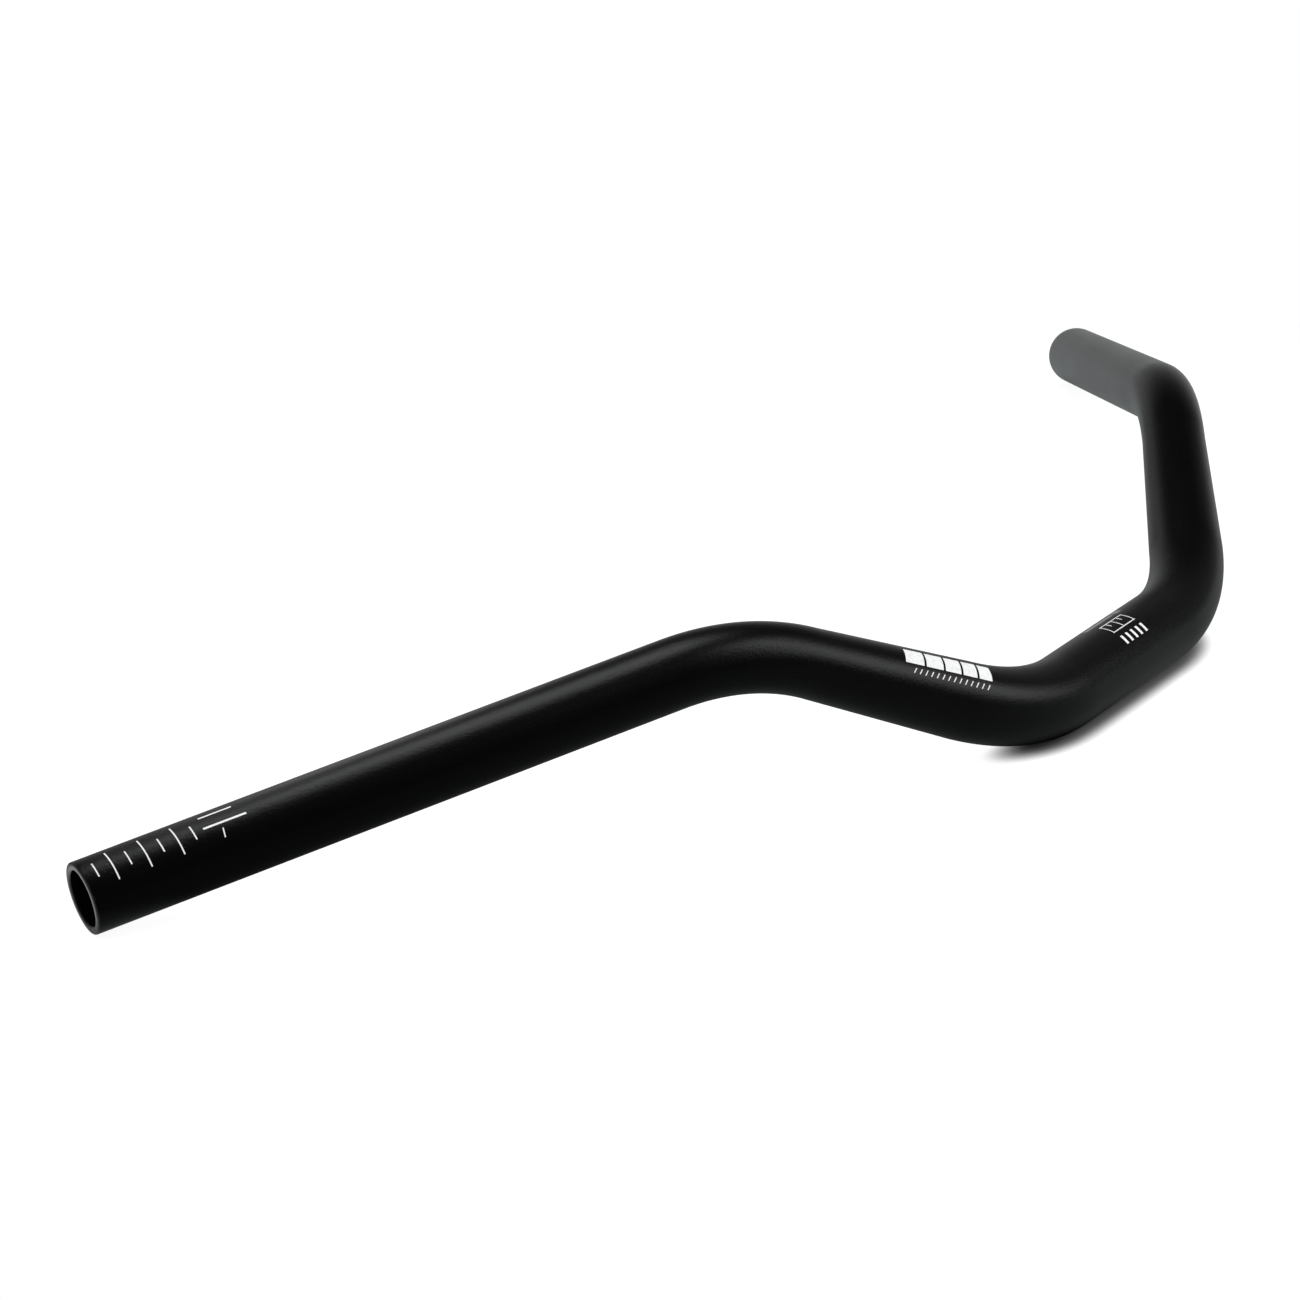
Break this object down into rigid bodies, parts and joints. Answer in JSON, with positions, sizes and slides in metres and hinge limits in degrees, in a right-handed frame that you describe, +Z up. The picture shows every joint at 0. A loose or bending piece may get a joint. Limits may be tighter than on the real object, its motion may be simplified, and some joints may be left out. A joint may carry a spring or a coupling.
{
  "type": "trekking handlebar",
  "caption": "Bent aluminium bicycle handlebar tube with a thick straight stem zone, tapered risers and long straight grip zones swept back.",
  "frame": {"origin": "middle of the stem clamp zone, on the tube's axis", "axes": "+X along the clamp zone to one grip, +Y back to the grip ends (towards the rider), +Z up from the table that the bar lies on"},
  "size_m": [0.6998, 0.1909, 0.0626],
  "materials": {
    "handlebar": "satin black, anodised"
  },
  "bodies": {
    "root": {"handlebar": "handlebar"}
  },
  "joints": []
}
